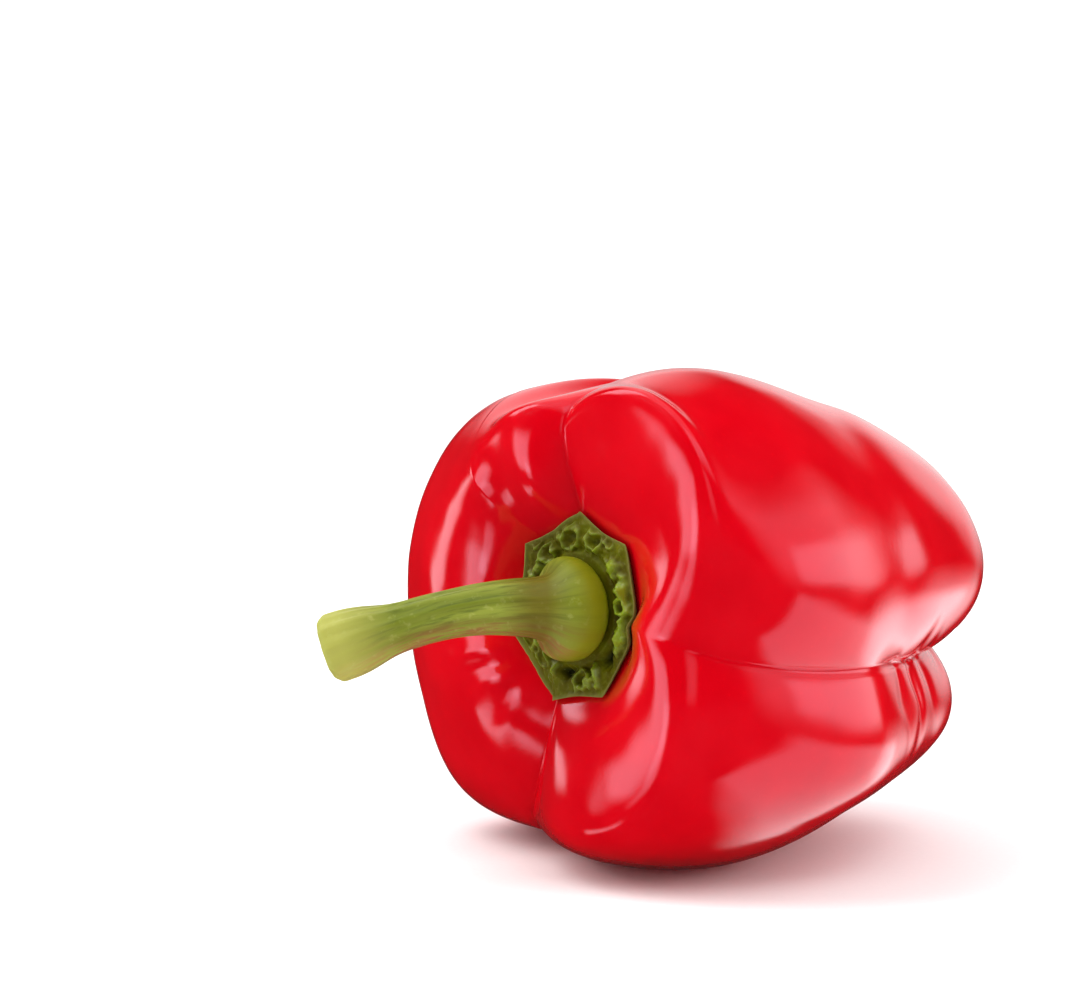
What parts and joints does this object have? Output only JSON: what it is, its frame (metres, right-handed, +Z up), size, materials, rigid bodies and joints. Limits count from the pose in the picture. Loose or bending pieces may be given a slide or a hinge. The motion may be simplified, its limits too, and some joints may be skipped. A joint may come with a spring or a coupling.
{
  "type": "bell pepper",
  "caption": "Plump red bell pepper lying on its side, with swollen lobes, a toothed green calyx sunk between its shoulders and a bent cut stem.",
  "frame": {"origin": "centre of the underside of the whole pepper's box, on the surface it lies on", "axes": "+Z up; the pepper lies along Y, with its stem end toward -Y and its blossom end toward +Y; +X is the side that the stem bends away from"},
  "size_m": [0.0936, 0.126, 0.0857],
  "materials": {
    "fruit_skin": "smooth waxy red skin",
    "calyx_green": "semi-gloss dark green plant tissue, blistered",
    "stem_green": "satin yellow-green plant tissue with lengthwise fibres"
  },
  "bodies": {
    "root": {"fruit": "fruit_skin", "calyx": "calyx_green", "stem": "stem_green"}
  },
  "joints": []
}
